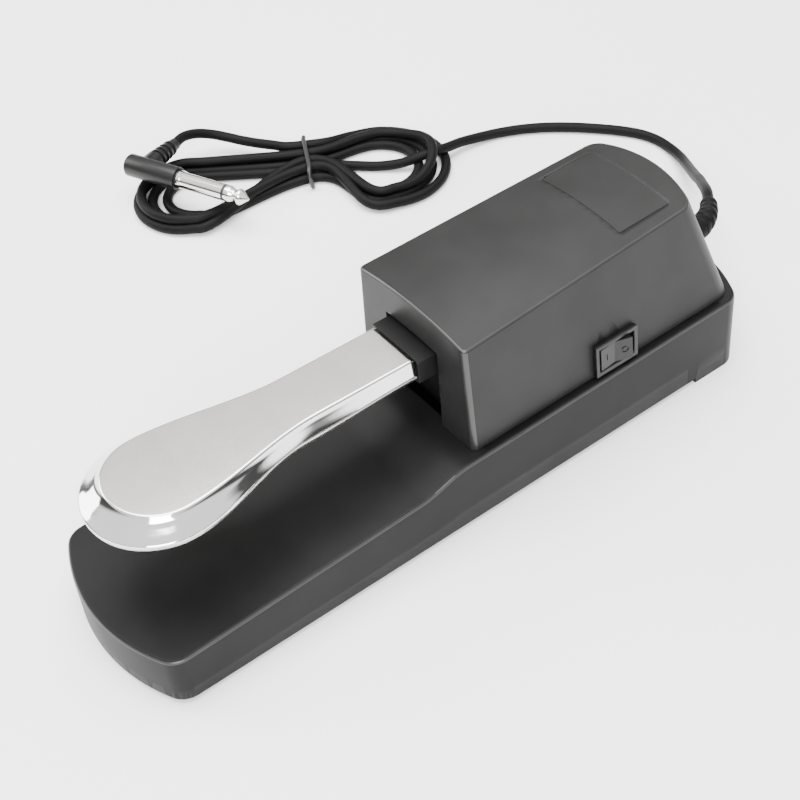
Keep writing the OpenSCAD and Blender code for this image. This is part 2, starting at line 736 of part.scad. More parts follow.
module pivot_axle() color("silver") {
    difference() {
        translate([-axle_half, pivot_y, pivot_z]) rotate([0, 90, 0]) cylinder(r = axle_r, h = 2 * axle_half);
        // grooves for the clips
        each_side() translate([cheek_x + bracket_t + 0.5, pivot_y, pivot_z]) rotate([0, 90, 0]) difference() {
            cylinder(r = axle_r + 1, h = 0.9);
            translate([0, 0, -1]) cylinder(r = axle_r - 0.6, h = 4);
        }
    }
}

module axle_clips() color("dimgray") {
    each_side() translate([cheek_x + bracket_t + 0.55, pivot_y, pivot_z]) rotate([0, 90, 0]) difference() {
        cylinder(r = axle_r + 1.8, h = 0.8);
        translate([0, 0, -1]) cylinder(r = axle_r - 0.55, h = 4);
        translate([-1.2, 0, -1]) cube([2.4, axle_r + 4, 4]);
    }
}

module pivot_bracket() color([0.6, 0.6, 0.62]) {
    difference() {
        union() {
            translate([-cheek_x - bracket_t, pivot_y - bracket_l / 2, floor_h])
                cube([2 * (cheek_x + bracket_t), bracket_l, bracket_t]);
            each_side() translate([cheek_x, pivot_y, 0]) rotate([90, 0, 90])
                linear_extrude(height = bracket_t)
                union() {
                    polygon([
                        [-bracket_l / 2, floor_h], [bracket_l / 2, floor_h],
                        [axle_r + 3, pivot_z], [-axle_r - 3, pivot_z]
                    ]);
                    translate([0, pivot_z]) circle(r = axle_r + 3);
                }
        }
        translate([-30, pivot_y, pivot_z]) rotate([0, 90, 0]) cylinder(r = axle_r + running_gap, h = 60);
        each_side() for (p = bracket_screw_at)
            translate([p[0], pivot_y + p[1], floor_h - 1]) cylinder(r = small_screw_r + 0.2, h = 6);
    }
}

module bracket_screws() color("silver") {
    each_side() for (p = bracket_screw_at)
        translate([p[0], pivot_y + p[1], floor_h - 5])
            pan_screw(5 + bracket_t + 0.05, pilot_r, screw_head_r, 1.4);
}

// Compression spring with a closed turn at each end
module return_spring() color("gray") {
    steps = 14;
    count = ceil(spring_turns * steps);
    z0 = spring_foot + spring_wire_r + 0.05;
    z1 = spring_head - spring_wire_r;
    closed = 2 * spring_wire_r + 0.15;
    helix = [for (i = [0:count])
        let (turn = i / steps,
             rise = turn < 1 ? closed * turn
                : turn > spring_turns - 1 ? (z1 - z0) - closed * (spring_turns - turn)
                : closed + (z1 - z0 - 2 * closed) * (turn - 1) / (spring_turns - 2))
        [spring_r * cos(360 * turn), spring_y + spring_r * sin(360 * turn), z0 + rise]];
    even_tube(helix, spring_wire_r, 8);
}

module spring_cup() color([0.85, 0.83, 0.78]) {
    cup_r = spring_r + spring_wire_r + 0.4;
    translate([0, spring_y, floor_h]) difference() {
        cylinder(r = cup_r + 1.2, h = 3);
        translate([0, 0, -1]) cylinder(r = cup_r, h = 6);
    }
}

module stop_strap() color([0.6, 0.6, 0.62]) {
    each_leg = strap_top - floor_h;
    difference() {
        union() {
            translate([-strap_half - strap_t, strap_y - strap_l / 2, strap_top - strap_t])
                cube([2 * (strap_half + strap_t), strap_l, strap_t]);
            each_side() translate([strap_half, strap_y - strap_l / 2, floor_h]) {
                cube([strap_t, strap_l, each_leg]);
                cube([strap_foot_w + strap_t, strap_l, strap_t]);
            }
        }
        each_side() translate([strap_screw_x, strap_y, floor_h - 1]) cylinder(r = small_screw_r + 0.2, h = 6);
    }
}

module strap_screws() color("silver") {
    each_side() translate([strap_screw_x, strap_y, floor_h - 5])
        pan_screw(5 + strap_t + 0.05, pilot_r, screw_head_r, 1.4);
}

module up_stop_felt() color([0.35, 0.1, 0.1]) {
    translate([-strap_half + 1, strap_y - strap_l / 2, felt_bottom])
        cube([2 * strap_half - 2, strap_l, felt_t]);
}

module down_stop_bumper() color([0.1, 0.1, 0.1]) {
    translate([0, bumper_y, bumper_top - bumper_h]) {
        cylinder(r = bumper_r, h = bumper_h - 1);
        cylinder(r = bumper_r - 1, h = bumper_h);
        translate([0, 0, -4]) cylinder(r = 1.45, h = 5);
    }
}

// ---------- contact switch and board ----------

module switch_board() color([0.1, 0.35, 0.16]) {
    difference() {
        translate([board_x0, board_y0, board_z]) cube([board_w, board_l, board_t]);
        for (y = board_screw_y) translate([board_screw_x, y, board_z - 1]) cylinder(r = 1.25, h = 5);
    }
}

module board_screws() color("silver") {
    for (y = board_screw_y) translate([board_screw_x, y, board_z - 4])
        pan_screw(4 + board_t + 0.05, 1, 2, 1.2);
}

// Wire block, resistor and the contact switch's legs
module board_parts() color([0.8, 0.75, 0.6]) {
    translate([board_x0 + board_w - 4.4, contact_y + 8.2, board_top]) cube([4, 7.6, 4]);
    translate([board_x0 + 2, contact_y - 7, board_top + 1]) rotate([-90, 0, 0]) cylinder(r = 0.95, h = 5);
    for (y = [-8.4, -0.6]) translate([board_x0 + 2, contact_y + y, board_top]) cylinder(r = 0.3, h = 1.3);
    translate([board_x0 + 2, contact_y - 8.4, board_top + 1]) rotate([-90, 0, 0]) cylinder(r = 0.3, h = 7.8);
}

module contact_switch_body() color([0.12, 0.12, 0.13]) {
    difference() {
        translate([contact_x - 3.4, contact_y - 4.6, board_top])
            cube([6.8, 9.2, contact_body_top - board_top]);
        translate([contact_x, contact_y, plunger_bottom - 3.2]) cylinder(r = plunger_r + running_gap, h = 20);
    }
}

module contact_plunger() color([0.75, 0.15, 0.12]) {
    translate([contact_x, contact_y, plunger_bottom]) {
        cylinder(r = plunger_r, h = plunger_top - plunger_bottom);
        translate([0, 0, plunger_top - plunger_bottom - 1.2]) cylinder(r = plunger_r + 0.7, h = 1.2);
    }
}

// ---------- polarity rocker ----------

// Frame on the housing's side wall: x points out of the wall, y to the rear
module on_side_wall() {
    translate([bezel_x, bezel_y, bezel_z]) rotate([0, -side_lean, 0]) children();
}

module polarity_switch_body() color([0.06, 0.06, 0.07]) on_side_wall() {
    difference() {
        union() {
            translate([2 * seat_gap, -bezel_l / 2, -bezel_h / 2]) cube([bezel_t, bezel_l, bezel_h]);
            translate([-switch_depth, -switch_l / 2, -switch_h / 2])
                cube([switch_depth + 1, switch_l, switch_h]);
        }
        translate([-switch_depth + 1.2, -well_l / 2, -well_h / 2]) cube([20, well_l, well_h]);
        translate([rocker_pivot, 0, -10]) cylinder(r = 1 + running_gap, h = 20);
    }
}

module polarity_rocker() color([0.05, 0.05, 0.06]) on_side_wall() {
    rocker_waist = 4.3;
    rocker_crest = 5.6;
    rocker_half = 5.8;
    face_turn = atan((rocker_crest - rocker_waist) / rocker_half);
    mark_depth = 0.3;
    translate([rocker_pivot, 0, 0]) rotate([0, 0, -rocker_swing / 2]) {
        difference() {
            translate([0, 0, -well_h / 2 + slide_gap]) linear_extrude(height = well_h - 2 * slide_gap)
                polygon([
                    [rocker_crest, -rocker_half], [rocker_waist, 0], [rocker_crest, rocker_half],
                    [1.5, rocker_half], [-2.2, 3], [-2.2, -3], [1.5, -rocker_half]
                ]);
            // a ring cut in one half's face and a bar in the other's
            translate([rocker_waist, 0, 0]) rotate([0, 0, -face_turn]) translate([-mark_depth, 3.4, 0])
                rotate([0, 90, 0]) difference() {
                    cylinder(r = 1.2, h = 2);
                    translate([0, 0, -1]) cylinder(r = 0.8, h = 4);
                }
            translate([rocker_waist, 0, 0]) rotate([0, 0, face_turn]) translate([-mark_depth, -3.6, -1.1])
                cube([2, 0.45, 2.2]);
        }
        translate([0, 0, -switch_h / 2 + 0.2]) cylinder(r = 1, h = switch_h - 0.4);
    }
}

module polarity_terminals() color([0.75, 0.6, 0.3]) on_side_wall() {
    for (y = [-4.5, 0, 4.5]) translate([-switch_depth - terminal_l, y - 0.4, -1.4])
        cube([terminal_l, 0.8, 2.8]);
}

module board_wires() color([0.7, 0.1, 0.1]) {
    tab_reach = switch_depth + terminal_l + seat_gap;
    tab = [bezel_x - tab_reach * cos(side_lean), bezel_y, bezel_z - tab_reach * sin(side_lean)];
    block = [board_x0 + board_w - 1.4, contact_y + 12, board_top + 2];
    inner_end = inner_points[len(inner_points) - 1];
    wire_r = 0.6;
    for (k = [-1, 1]) {
        even_tube([
            tab + [0, 4.5 * k, 0], tab + [-3, 4.2 * k, -0.6], tab + [-5.4, 3.6 * k, -4],
            [2, bezel_y + 3 * k, floor_h + 2], [-4, block[1] + 1.6 * k, floor_h + 3],
            block + [3, 1.6 * k, -0.4], block + [1.1, 1.6 * k, 0]
        ], wire_r, 8);
        even_tube([
            inner_end + [0.9 * k, -0.05, 0], inner_end + [0.9 * k, -4, 0],
            [3 + 1.2 * k, pivot_y, 25.4], [-1 + 1.4 * k, pivot_y - 9, 25.6], [-7 + 1.2 * k, block[1] + 6, 27],
            block + [-1.6 + 1.3 * k, 6, 0.2], block + [-1.6 + 1.3 * k, 3.95, 0]
        ], wire_r, 8);
    }
}

// ---------- cord and plug ----------

module cord_clamp() color([0.15, 0.15, 0.16]) {
    difference() {
        translate([5 - 8, clamp_y - clamp_l / 2, floor_h + seat_gap])
            cube([16, clamp_l, clamp_z + cord_r + 1.5 - floor_h]);
        translate([5, clamp_y - 10, clamp_z]) rotate([-90, 0, 0]) cylinder(r = cord_r + running_gap, h = 20);
        for (x = [-5.4, 5.4]) translate([5 + x, clamp_y, floor_h - 1]) cylinder(r = 1.2, h = 20);
    }
}

module clamp_screws() color("silver") {
    for (x = [-5.4, 5.4]) translate([5 + x, clamp_y, floor_h - 4])
        pan_screw(4 + clamp_z + cord_r + 1.5 - floor_h + seat_gap + 0.05, 1, 2, 1.2);
}

module cord_inner() color([0.05, 0.05, 0.05]) even_tube(inner_points, cord_r, 12);

module strain_relief() color([0.05, 0.05, 0.05]) {
    straight = 2;
    count = len(relief_points);
    tube(relief_points, [for (i = [0:count - 1])
        relief_r - (relief_r - relief_tip_r) * max(0, i - straight) / (count - 1 - straight)], 12);
    translate(relief_points[0]) rotate([-90, 0, 0]) cylinder(r = relief_flange_r, h = relief_flange_t);
}

module cord() color([0.05, 0.05, 0.05]) even_tube(cord_points, cord_r, 8);

module hank_form() {
    linear_extrude(height = hank_h) union() {
        hull() {
            translate(hank_left) circle(r = hank_left_r);
            translate(hank_waist) circle(r = hank_waist_r);
        }
        hull() {
            translate(hank_right) circle(r = hank_right_r);
            translate(hank_waist) circle(r = hank_waist_r);
        }
    }
}

module tie_ring(gap) {
    translate([hank_waist[0], hank_waist[1], 0]) rotate([0, 0, tie_turn]) difference() {
        translate([-tie_w / 2 - gap, -hank_waist_r - tie_t - 2, 0])
            cube([tie_w + 2 * gap, 2 * (hank_waist_r + tie_t + 2), hank_h + tie_t]);
        translate([-tie_w, -hank_waist_r - 2, tie_t])
            cube([2 * tie_w, 2 * (hank_waist_r + 2), hank_h - tie_t]);
    }
}

module cord_hank() color([0.05, 0.05, 0.05]) {
    difference() {
        hank_form();
        tie_ring(seat_gap);
        even_tube(last_three(cord_points), cord_r + running_gap, 8);
        even_tube(last_three(end_points), cord_r + running_gap, 8);
    }
}

module cord_tie() color([0.03, 0.03, 0.03]) tie_ring(0);

module cord_end() color([0.05, 0.05, 0.05]) even_tube(end_points, cord_r, 8);

// Frame of the plug: x runs along its axis from the closed end of the body to the tip
module along_plug() {
    translate(plug_at) rotate([0, 0, plug_turn]) children();
}

module along_boot() {
    along_plug() translate([boot_from_end, 0, 0]) rotate([0, 0, 90]) rotate([0, 90 + boot_dip, 0]) children();
}

module plug_body() color([0.06, 0.06, 0.07]) {
    along_plug() rotate([0, 90, 0]) {
        cylinder(r = plug_body_r - 0.8, h = plug_body_l);
        translate([0, 0, 0.8]) cylinder(r = plug_body_r, h = plug_body_l - 1.6);
    }
    along_boot() cylinder(r = 3.9, h = plug_body_r + 2.5);
}

module plug_boot() color([0.06, 0.06, 0.07]) {
    start = plug_body_r + 2.5;
    ribs = 4;
    pitch = (boot_l - start) / (ribs + 1);
    along_boot() translate([0, 0, start]) {
        cylinder(r1 = 3.1, r2 = 2.3, h = boot_l - start);
        for (i = [0:ribs - 1])
            translate([0, 0, pitch * (i + 0.5)])
                cylinder(r1 = 3.7 - 0.2 * i, r2 = 3.4 - 0.2 * i, h = pitch * 0.55);
    }
}

module plug_sleeve() color([0.8, 0.79, 0.76]) {
    along_plug() translate([plug_body_l, 0, 0]) rotate([0, 90, 0]) {
        cylinder(r = plug_r + 0.35, h = 1.4);
        cylinder(r = plug_r, h = sleeve_l);
    }
}

module plug_insulator() color([0.04, 0.04, 0.04]) {
    along_plug() translate([plug_body_l + sleeve_l, 0, 0]) rotate([0, 90, 0])
        cylinder(r = plug_r, h = insulator_l);
}

// Tip with its waist and cone
module plug_tip() color([0.8, 0.79, 0.76]) {
    along_plug() translate([plug_body_l + sleeve_l + insulator_l, 0, 0]) rotate([0, 90, 0]) rotate_extrude()
        polygon([
            [0, 0], [plug_r, 0], [plug_r, 1.6], [2.1, 3.6], [2.1, 4.1], [3.1, 5.4],
            [3.1, 6.2], [0.9, tip_l - 0.6], [0.3, tip_l], [0, tip_l]
        ]);
}

base_body();
bottom_plate();
plate_screws();
front_pad();
rear_pad();
housing_cover();
housing_screws();
top_plate();
lever_shoe();
lever_arm();
shoe_screws();
pivot_bushes();
pivot_axle();
axle_clips();
pivot_bracket();
bracket_screws();
return_spring();
spring_cup();
stop_strap();
strap_screws();
up_stop_felt();
down_stop_bumper();
switch_board();
board_screws();
board_parts();
contact_switch_body();
contact_plunger();
polarity_switch_body();
polarity_rocker();
polarity_terminals();
board_wires();
cord_clamp();
clamp_screws();
cord_inner();
strain_relief();
cord();
cord_hank();
cord_tie();
cord_end();
plug_boot();
plug_body();
plug_sleeve();
plug_insulator();
plug_tip();
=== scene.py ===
"""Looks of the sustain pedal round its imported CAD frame.

Lengths are in millimetres until they become meshes.
"""

import json
import math

import bmesh
import bpy
from mathutils import Matrix, Vector


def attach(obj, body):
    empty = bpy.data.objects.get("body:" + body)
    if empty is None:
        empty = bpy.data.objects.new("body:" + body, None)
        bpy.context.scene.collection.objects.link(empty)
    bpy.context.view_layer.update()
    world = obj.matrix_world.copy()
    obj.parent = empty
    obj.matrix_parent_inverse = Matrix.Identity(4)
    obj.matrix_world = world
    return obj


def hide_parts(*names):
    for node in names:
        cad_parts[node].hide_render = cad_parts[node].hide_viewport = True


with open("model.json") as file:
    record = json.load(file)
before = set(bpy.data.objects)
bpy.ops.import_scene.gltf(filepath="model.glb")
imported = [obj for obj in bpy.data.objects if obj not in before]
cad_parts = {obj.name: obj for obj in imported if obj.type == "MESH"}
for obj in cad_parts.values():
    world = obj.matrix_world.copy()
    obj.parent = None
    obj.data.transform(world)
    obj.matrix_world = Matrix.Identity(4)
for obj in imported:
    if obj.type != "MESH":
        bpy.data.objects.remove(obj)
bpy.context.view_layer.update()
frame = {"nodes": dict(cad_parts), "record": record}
nodes = frame["nodes"]

MM = 0.001

# ---------- sizes that the CAD source sets ----------
HALF_L = 116.0
HALF_W = 31.5
END_R = 60.0
CORNER_R = 7.0
LEDGE_H = 25.5
STEP_L = 17.0
STEP_END = -4.0
DECK_H = 18.0
SIDE_DRAFT = 1.0
DECK_SLOPE = math.radians(2.2)
LEDGE_SLOPE = math.radians(0.8)

HOUSE_W = 54.8
HOUSE_L = 112.8
TOP_W_FRONT = 50.2
TOP_W_REAR = 44.4
TOP_H = 64.6
TOP_SLOPE = math.radians(1.8)
CROWN_H = 2.7
REAR_LEAN = 16.6
FRONT_LEAN = 0.8
HOUSE_CORNER_R = 6.0
FRONT_EDGE_R = 2.0
REAR_R_TOP = 48.0

PIVOT = (0.0, 80.0, 42.0)
LEVER_RISE = math.radians(1.0)
SHOE_TOP = 53.4
SHOE_GAP = 7.0
TOE_Y = 87.0
NECK_HALF = 9.7
TOE_R = 16.2
BEVEL_W = 5.2
BEVEL_H = 5.4
FLANGE_H = 7.2

CORD_D = 3.9
CORD_R = CORD_D / 2
RELIEF_FOOT_R = 4.3
RELIEF_TIP_R = 2.7

RELIEF_POINTS = [
    (5.4, 102.3, 36.9), (5.4, 107, 36.9), (5.4, 111, 36.9), (4.9, 115, 36.9),
    (3.3, 119, 36.7), (1.2, 122.3, 36.2), (-1.3, 125.2, 35.6), (-4, 127.8, 34.8),
]
CORD_POINTS = [
    (-4, 127.8, 34.8), (-8.5, 132.1, 33.5), (-13.5, 136.5, 30.7), (-19, 141.2, 27),
    (-25.5, 146.8, 22.6), (-33, 153, 17), (-41, 159.4, 11.8), (-49, 165.3, 7.4),
    (-57, 170.2, 4.2), (-65, 173.1, 2.4), (-73, 173.6, 2), (-80.5, 171.4, 2),
    (-88, 166.7, 2), (-95.5, 160.6, 2), (-102.5, 154, 2), (-109, 146.6, 2),
    (-114.4, 138.6, 2), (-118.4, 130.2, 2.1), (-120.6, 121.6, 2.8), (-121.4, 113.6, 4),
    (-121, 107.5, 5),
]
END_POINTS = [
    (-185.4, 22.3, 13.1), (-187.7, 27.4, 12.7), (-188.1, 33.4, 11.2), (-186.4, 39.2, 9),
    (-182.8, 44, 7.2), (-178, 48, 6.2), (-172.6, 51.8, 6), (-167.2, 55.8, 6), (-162.2, 60, 6),
]


# ---------- camera ----------
CAMERA_AT = (0.2674, -0.1850, 0.3521)
CAMERA_AZIMUTH = math.radians(56.26)
CAMERA_ELEVATION = math.radians(44.95)
CAMERA_ROLL = math.radians(-4.9)
FOCAL_LENGTH = 67.57
SENSOR_WIDTH = 36


def make_camera():
    azimuth, elevation, roll = CAMERA_AZIMUTH, CAMERA_ELEVATION, CAMERA_ROLL
    back = Vector((math.sin(azimuth) * math.cos(elevation), -math.cos(azimuth) * math.cos(elevation),
                   math.sin(elevation)))
    side = Vector((math.cos(azimuth), math.sin(azimuth), 0))
    up = back.cross(side)
    right = side * math.cos(roll) + up * math.sin(roll)
    top = up * math.cos(roll) - side * math.sin(roll)
    camera = bpy.data.objects.new("camera", bpy.data.cameras.new("camera"))
    bpy.context.scene.collection.objects.link(camera)
    turn = Matrix((right, top, back)).transposed().to_4x4()
    camera.matrix_world = Matrix.Translation(CAMERA_AT) @ turn
    camera.data.sensor_width = SENSOR_WIDTH
    camera.data.lens = FOCAL_LENGTH
    camera.data.clip_start = 0.01
    camera.data.clip_end = 100
    bpy.context.scene.camera = camera


make_camera()


# ---------- node materials ----------
class Nodes:
    """A short way to build one material's nodes."""

    def __init__(self, name):
        self.material = bpy.data.materials.new(name)
        self.material.use_nodes = True
        self.tree = self.material.node_tree
        self.tree.nodes.clear()
        self.out = self.add("ShaderNodeOutputMaterial")
        self.shader = self.add("ShaderNodeBsdfPrincipled")
        self.link(self.shader, "BSDF", self.out, "Surface")
        self.place = self.add("ShaderNodeTexCoord")

    def add(self, kind):
        return self.tree.nodes.new(kind)

    def link(self, a, a_name, b, b_name):
        self.tree.links.new(a.outputs[a_name], b.inputs[b_name])

    def noise(self, size_mm, detail=3.0, roughness=0.5, stretch=None):
        """Noise whose spots are about size_mm across, drawn out along one axis by stretch."""
        node = self.add("ShaderNodeTexNoise")
        node.inputs["Scale"].default_value = 1 / (size_mm * MM)
        node.inputs["Detail"].default_value = detail
        node.inputs["Roughness"].default_value = roughness
        if stretch:
            mapping = self.add("ShaderNodeMapping")
            mapping.inputs["Scale"].default_value = stretch
            self.link(self.place, "Object", mapping, "Vector")
            self.link(mapping, "Vector", node, "Vector")
        else:
            self.link(self.place, "Object", node, "Vector")
        return node

    def spread(self, source, name, low, high):
        """The middle of a noise's range, spread from low to high."""
        node = self.add("ShaderNodeMapRange")
        node.inputs["From Min"].default_value = 0.3
        node.inputs["From Max"].default_value = 0.7
        node.inputs["To Min"].default_value = low
        node.inputs["To Max"].default_value = high
        self.link(source, name, node, "Value")
        return node

    def tint(self, source, name, first, second):
        """Base colour that goes from first to second with a noise."""
        ramp = self.add("ShaderNodeValToRGB")
        ramp.color_ramp.elements[0].position = 0.32
        ramp.color_ramp.elements[1].position = 0.68
        ramp.color_ramp.elements[0].color = (*first, 1)
        ramp.color_ramp.elements[1].color = (*second, 1)
        self.link(source, name, ramp, "Fac")
        self.link(ramp, "Color", self.shader, "Base Color")

    def bump(self, source, name, height_mm, previous=None):
        node = self.add("ShaderNodeBump")
        node.inputs["Strength"].default_value = 1.0
        node.inputs["Distance"].default_value = height_mm * MM
        self.link(source, name, node, "Height")
        if previous:
            self.link(previous, "Normal", node, "Normal")
        return node


MATERIALS = {}


def grey(level, warm=0.0):
    """A grey of this level, with more red and less blue where warm is above 0."""
    return (level * (1 + warm), level, level * (1 - warm))


def moulded(name, low, high, roughness, grain_mm=0.35, grain_h=0.012, specular=0.5):
    """Moulded plastic or rubber: fine spark-eroded grain, soft blotches and slightly uneven gloss."""
    m = Nodes(name)
    grain = m.noise(grain_mm, 4, 0.6)
    blotch = m.noise(14, 3)
    smear = m.noise(38, 2)
    m.tint(blotch, "Fac", low, high)
    rough = m.spread(smear, "Fac", roughness - 0.05, roughness + 0.05)
    m.link(rough, "Result", m.shader, "Roughness")
    m.shader.inputs["Specular IOR Level"].default_value = specular
    fine = m.bump(grain, "Fac", grain_h)
    wave = m.bump(m.noise(9, 1), "Fac", 0.02, fine)
    m.link(wave, "Normal", m.shader, "Normal")
    MATERIALS[name] = m.material


def plated(name, low, high, rough_low, rough_high, stretch=None, size_mm=1.2, height=0.002, ripple=0.01):
    """Plated or bare metal: fine marks in the polish, uneven gloss and a slow ripple."""
    m = Nodes(name)
    marks = m.noise(size_mm, 4, 0.6, stretch)
    cloud = m.noise(11, 3)
    m.tint(cloud, "Fac", low, high)
    m.shader.inputs["Metallic"].default_value = 1.0
    rough = m.spread(marks, "Fac", rough_low, rough_high)
    m.link(rough, "Result", m.shader, "Roughness")
    fine = m.bump(marks, "Fac", height)
    slow = m.bump(m.noise(16, 1), "Fac", ripple, fine)
    m.link(slow, "Normal", m.shader, "Normal")
    MATERIALS[name] = m.material


def fibrous(name, low, high):
    """Felt: matted fibres."""
    m = Nodes(name)
    fibre = m.noise(0.5, 6, 0.7, (1, 3, 1))
    m.tint(fibre, "Fac", low, high)
    m.shader.inputs["Roughness"].default_value = 0.95
    m.shader.inputs["Sheen Weight"].default_value = 0.3
    m.link(m.bump(fibre, "Fac", 0.2), "Normal", m.shader, "Normal")
    MATERIALS[name] = m.material


# The black plastics and rubbers
moulded("base_plastic", grey(0.0044), grey(0.0058), 0.44, specular=0.13)
moulded("housing_plastic", grey(0.0110), grey(0.0140), 0.45, specular=0.17)
# A lighter, glossier copy of the plastic for the fillets: its lighter colour is a painted highlight along the
# edges
moulded("painted_highlight_edge_plastic", grey(0.016), grey(0.020), 0.30, specular=0.55)
moulded("plate_paint", grey(0.017), grey(0.022), 0.5, grain_mm=0.5, grain_h=0.008)
moulded("arm_plastic", grey(0.004), grey(0.006), 0.4, specular=0.25)
moulded("pad_rubber", grey(0.010), grey(0.018), 0.75, grain_mm=0.5, grain_h=0.03, specular=0.3)
moulded("switch_black", grey(0.004), grey(0.006), 0.3, grain_mm=0.25, grain_h=0.005, specular=0.35)
moulded("cord_sheath", grey(0.003), grey(0.0042), 0.55, grain_mm=0.3, grain_h=0.006, specular=0.09)
moulded("tie_plastic", grey(0.006), grey(0.009), 0.45)
moulded("plug_moulding", grey(0.004), grey(0.006), 0.38, grain_mm=0.3, grain_h=0.006, specular=0.3)
moulded("plug_ring", grey(0.01), grey(0.015), 0.35)

# The coloured and pale ones
moulded("bush_nylon", grey(0.55, 0.03), grey(0.62, 0.03), 0.45)
moulded("board_green", (0.01, 0.09, 0.03), (0.015, 0.12, 0.045), 0.35, grain_mm=0.8, grain_h=0.01)
moulded("part_beige", (0.45, 0.36, 0.22), (0.5, 0.41, 0.27), 0.4)
moulded("plunger_red", (0.35, 0.02, 0.015), (0.42, 0.03, 0.02), 0.35)
moulded("wire_sheath", (0.3, 0.015, 0.012), (0.36, 0.02, 0.018), 0.35)
fibrous("felt", (0.20, 0.03, 0.03), (0.32, 0.06, 0.06))

# The metals
plated("zinc_steel", grey(0.55), grey(0.66), 0.25, 0.4)
plated("axle_steel", grey(0.5), grey(0.6), 0.18, 0.3, stretch=(1, 12, 12))
plated("clip_steel", grey(0.2), grey(0.28), 0.3, 0.45)
plated("bracket_steel", grey(0.5), grey(0.6), 0.3, 0.45)
plated("spring_steel", grey(0.45), grey(0.55), 0.2, 0.35)
plated("terminal_brass", (0.6, 0.42, 0.16), (0.72, 0.52, 0.22), 0.25, 0.4)
plated("plug_nickel", grey(0.72, 0.02), grey(0.8, 0.02), 0.1, 0.2, stretch=(1, 6, 6), size_mm=1.5)
plated("lever_chrome", grey(0.60, 0.03), grey(0.64, 0.03), 0.19, 0.26,
       stretch=(6, 1, 6), size_mm=0.9, height=0.0015)
plated("lever_chrome_polished", grey(0.74, -0.01), grey(0.80, -0.01), 0.05, 0.10, size_mm=1.5, height=0.001)

SLOT_OF_NODE = {entry["node"]: entry["material_slot"] for entry in frame["record"]["subparts"]}


def paint(obj, material):
    obj.data.materials.clear()
    obj.data.materials.append(material)


# ---------- meshes ----------
def new_mesh(name, points, faces):
    mesh = bpy.data.meshes.new(name)
    mesh.from_pydata([Vector(p) * MM for p in points], [], faces)
    mesh.validate()
    bm = bmesh.new()
    bm.from_mesh(mesh)
    bmesh.ops.recalc_face_normals(bm, faces=bm.faces)
    bm.to_mesh(mesh)
    bm.free()
    mesh.shade_smooth()
    obj = bpy.data.objects.new(name, mesh)
    bpy.context.scene.collection.objects.link(obj)
    return obj


def loop_faces(count, rings):
    """Quads between rings of count points."""
    faces = []
    for r in range(rings - 1):
        here, there = r * count, (r + 1) * count
        for k in range(count):
            after = (k + 1) % count
            faces.append((here + k, here + after, there + after, there + k))
    return faces


def tube_rings(path, radii, sides):
    """Rings of points round a path, turned as little as possible from one to the next."""
    points, u = [], None
    for i, p in enumerate(path):
        d = (path[min(i + 1, len(path) - 1)] - path[max(i - 1, 0)]).normalized()
        u = d.orthogonal() if u is None else u - d * u.dot(d)
        u.normalize()
        v = d.cross(u)
        for k in range(sides):
            a = 2 * math.pi * k / sides
            points.append(p + radii[i] * (math.cos(a) * u + math.sin(a) * v))
    return points


def tube(name, path, radii, sides=32, closed=False):
    points = tube_rings(path, radii, sides)
    faces = loop_faces(sides, len(path))
    last = (len(path) - 1) * sides
    if closed:
        faces += [(last + k, last + (k + 1) % sides, (k + 1) % sides, k) for k in range(sides)]
    else:
        faces += [tuple(range(sides)), tuple(last + k for k in range(sides))]
    return new_mesh(name, points, faces)


def through(points, steps):
    """Points along a smooth curve through the given ones."""
    p = [Vector(q) for q in points]
    p = [2 * p[0] - p[1], *p, 2 * p[-1] - p[-2]]
    out = []
    for i in range(1, len(p) - 2):
        for s in range(steps):
            t = s / steps
            out.append(0.5 * ((2 * p[i]) + (p[i + 1] - p[i - 1]) * t
                              + (2 * p[i - 1] - 5 * p[i] + 4 * p[i + 1] - p[i + 2]) * t * t
                              + (3 * p[i] - p[i - 1] - 3 * p[i + 1] + p[i + 2]) * t ** 3))
    return out + [p[-2]]


def smooth(t):
    t = min(1.0, max(0.0, t))
    return t * t * (3 - 2 * t)


# ---------- the cord ----------
# The middles of the hank's two ends and of its tie, seen from above
HANK_LEFT = Vector((-165, 16))
HANK_WAIST = Vector((-150, 60))
HANK_RIGHT = Vector((-131, 82))
HANK_AXIS = (HANK_RIGHT - HANK_LEFT).normalized()
HANK_SIDE = Vector((-HANK_AXIS.y, HANK_AXIS.x))
# Heights of the two layers of laps, and the step from one lap to the next
LOW, HIGH = CORD_R + 0.05, CORD_R + 3.45
COLUMN = 4.1
WAIST_HALF = 8.0


def on_hank(s, d, z):
    """A point s along the hank from its tie and d to its left."""
    at = HANK_WAIST + HANK_AXIS * s + HANK_SIDE * d
    return Vector((at.x, at.y, z))


def local(point):
    """How far a point is along the hank from its tie, and to its left."""
    rel = Vector(point[:2]) - HANK_WAIST
    return rel.dot(HANK_AXIS), rel.dot(HANK_SIDE)


RIGHT_S, RIGHT_D = local(HANK_RIGHT)
LEFT_S, LEFT_D = local(HANK_LEFT)
# Half the angle of an end's bend, in degrees, its control points, and the share of it that changes layer
LOBE_REACH = 112
LOBE_POINTS = 9
LEVEL_SHARE = 0.22


def lobe(centre_s, centre_d, radius, z, outward, from_z, to_z, stretch, hump=0.0):
    """Control points round one end of the hank, anticlockwise from above; hump lifts the bend's middle."""
    out = []
    for i in range(LOBE_POINTS):
        t = i / (LOBE_POINTS - 1)
        a = math.radians(LOBE_REACH * (2 * t - 1))
        leaving = 1 - smooth(t / LEVEL_SHARE)
        arriving = smooth((t - 1 + LEVEL_SHARE) / LEVEL_SHARE)
        level = z + 0.4 * (leaving * (from_z - z) + arriving * (to_z - z))
        level += hump * math.cos(min(math.pi / 2, abs(a) * 1.5)) ** 2
        out.append(on_hank(centre_s + outward * radius * stretch * math.cos(a),
                           centre_d + outward * radius * math.sin(a), level))
    return out


